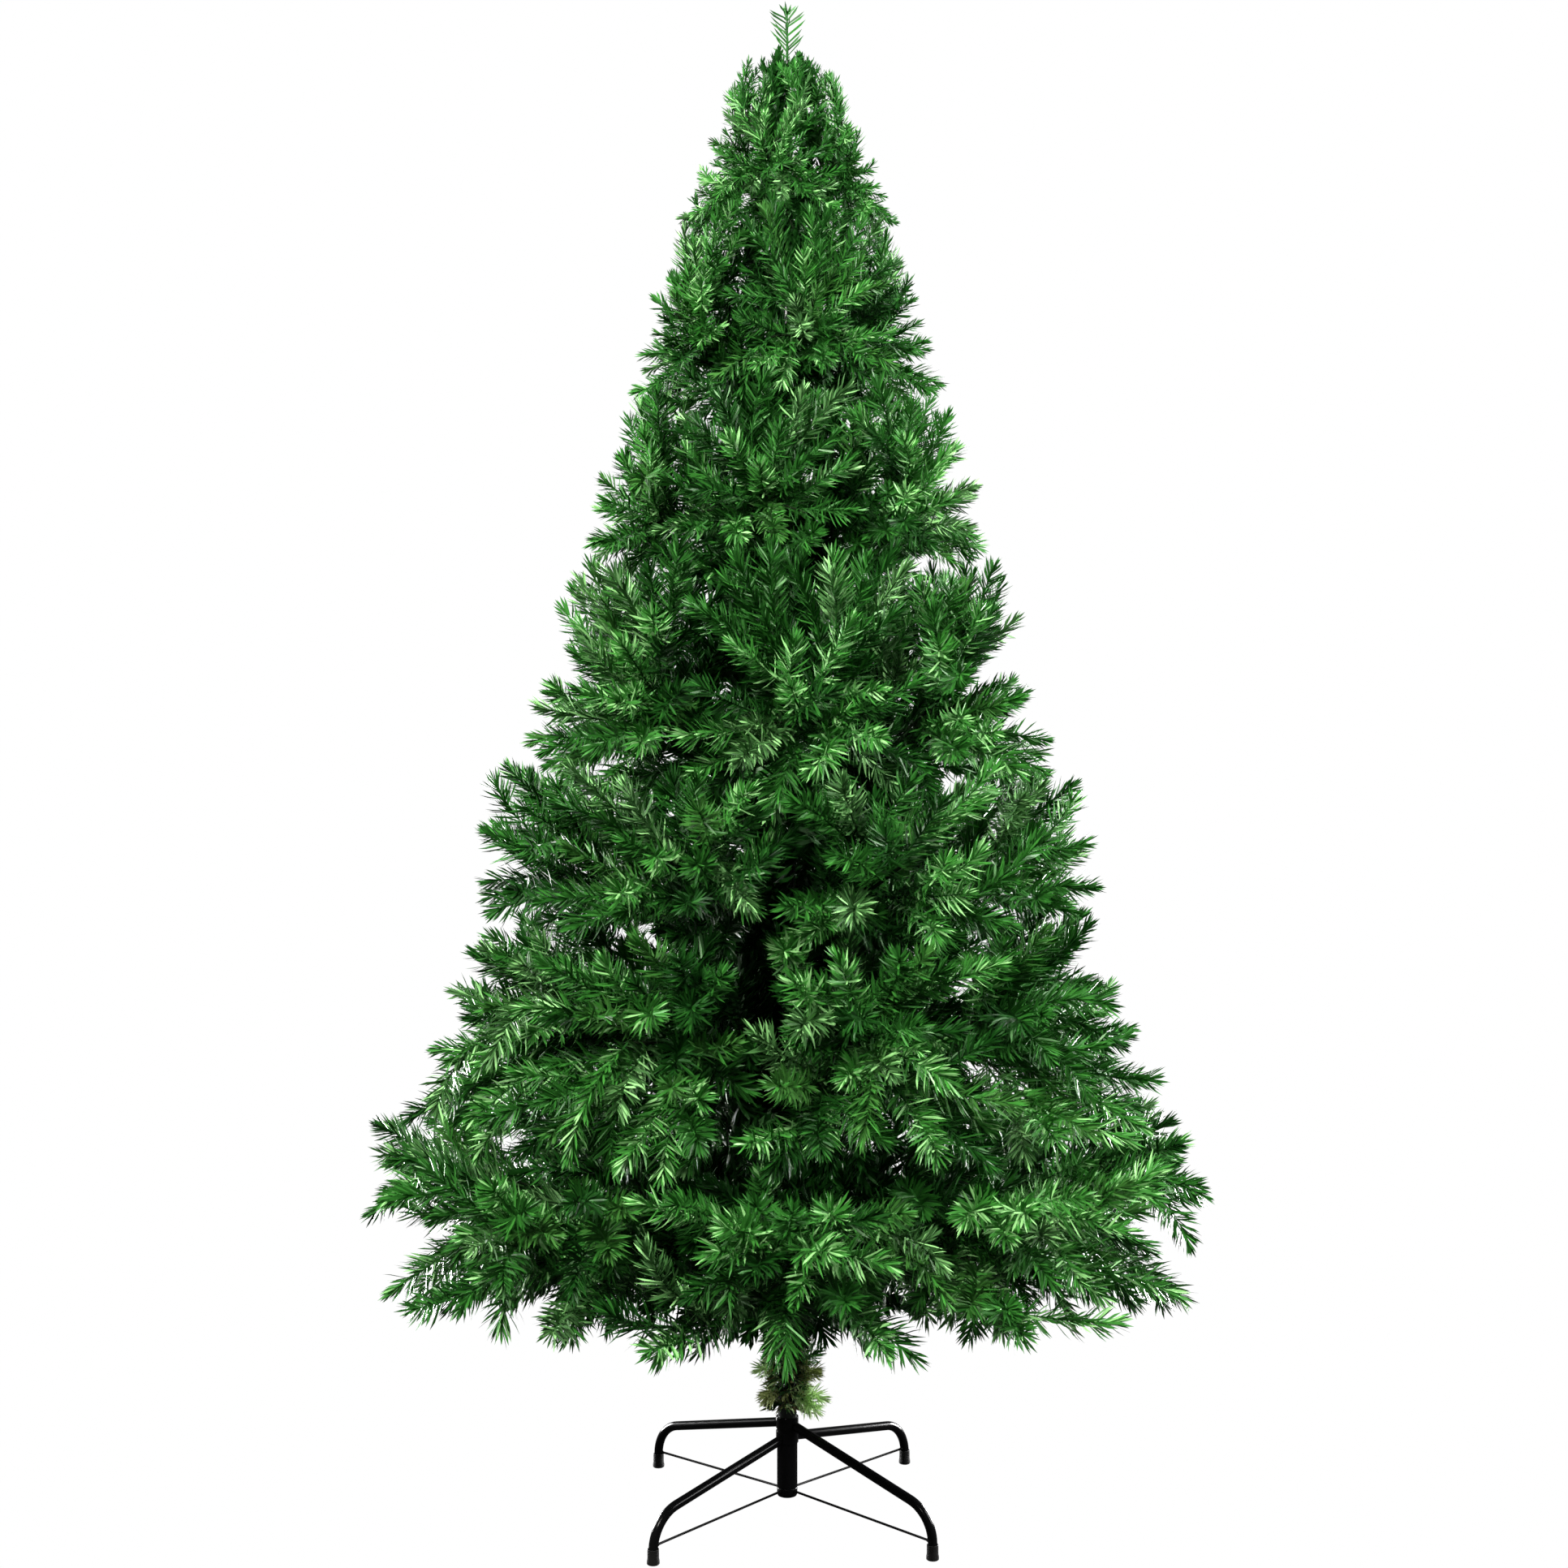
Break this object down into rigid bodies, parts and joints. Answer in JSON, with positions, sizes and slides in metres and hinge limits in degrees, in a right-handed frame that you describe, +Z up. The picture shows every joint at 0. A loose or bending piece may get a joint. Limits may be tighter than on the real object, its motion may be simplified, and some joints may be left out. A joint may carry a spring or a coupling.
{
  "type": "artificial christmas tree",
  "caption": "Artificial fir tree: tiered branches of green needle sprays round a steel pole, a short garland at its foot, on a low black tubular stand with bent legs and wire braces.",
  "frame": {"origin": "on the floor under the middle of the pole", "axes": "+Z up along the pole, -Y towards the front as pictured, +X to the right"},
  "size_m": [1.1755, 1.1736, 2.1],
  "materials": {
    "stand_steel": "satin black paint on steel tube",
    "foot_cap": "matt black moulded cap",
    "pole_steel": "dark green paint on steel tube",
    "garland_pvc": "olive and brown cut PVC film",
    "needle_pvc": "green cut PVC film with a soft sheen"
  },
  "bodies": {
    "root": {"leader_tip": "needle_pvc", "stand_brace_back_left": "stand_steel", "stand_brace_back_right": "stand_steel", "stand_brace_front_left": "stand_steel", "stand_brace_front_right": "stand_steel", "stand_collar_lower": "stand_steel", "stand_collar_upper": "stand_steel", "stand_foot_back_left": "foot_cap", "stand_foot_back_right": "foot_cap", "stand_foot_front_left": "foot_cap", "stand_foot_front_right": "foot_cap", "stand_leg_back_left": "stand_steel", "stand_leg_back_right": "stand_steel", "stand_leg_front_left": "stand_steel", "stand_leg_front_right": "stand_steel", "stand_socket": "stand_steel", "tier1_branch1": "needle_pvc", "tier1_branch2": "needle_pvc", "tier1_branch3": "needle_pvc", "tier1_branch4": "needle_pvc", "tier1_branch5": "needle_pvc", "tier1_branch6": "needle_pvc", "tier1_branch7": "needle_pvc", "tier1_branch8": "needle_pvc", "tier2_branch1": "needle_pvc", "tier2_branch2": "needle_pvc", "tier2_branch3": "needle_pvc", "tier2_branch4": "needle_pvc", "tier2_branch5": "needle_pvc", "tier2_branch6": "needle_pvc", "tier2_branch7": "needle_pvc", "tier2_branch8": "needle_pvc", "tier3_branch1": "needle_pvc", "tier3_branch2": "needle_pvc", "tier3_branch3": "needle_pvc", "tier3_branch4": "needle_pvc", "tier3_branch5": "needle_pvc", "tier3_branch6": "needle_pvc", "tier3_branch7": "needle_pvc", "tier4_branch1": "needle_pvc", "tier4_branch2": "needle_pvc", "tier4_branch3": "needle_pvc", "tier4_branch4": "needle_pvc", "tier4_branch5": "needle_pvc", "tier4_branch6": "needle_pvc", "tier5_branch1": "needle_pvc", "tier5_branch2": "needle_pvc", "tier5_branch3": "needle_pvc", "tier5_branch4": "needle_pvc", "tier5_branch5": "needle_pvc", "tier6_branch1": "needle_pvc", "tier6_branch2": "needle_pvc", "tier6_branch3": "needle_pvc", "tier6_branch4": "needle_pvc", "tier7_branch1": "needle_pvc", "tier7_branch2": "needle_pvc", "tier7_branch3": "needle_pvc", "trunk_pole": "pole_steel", "trunk_wrap": "garland_pvc"}
  },
  "joints": []
}
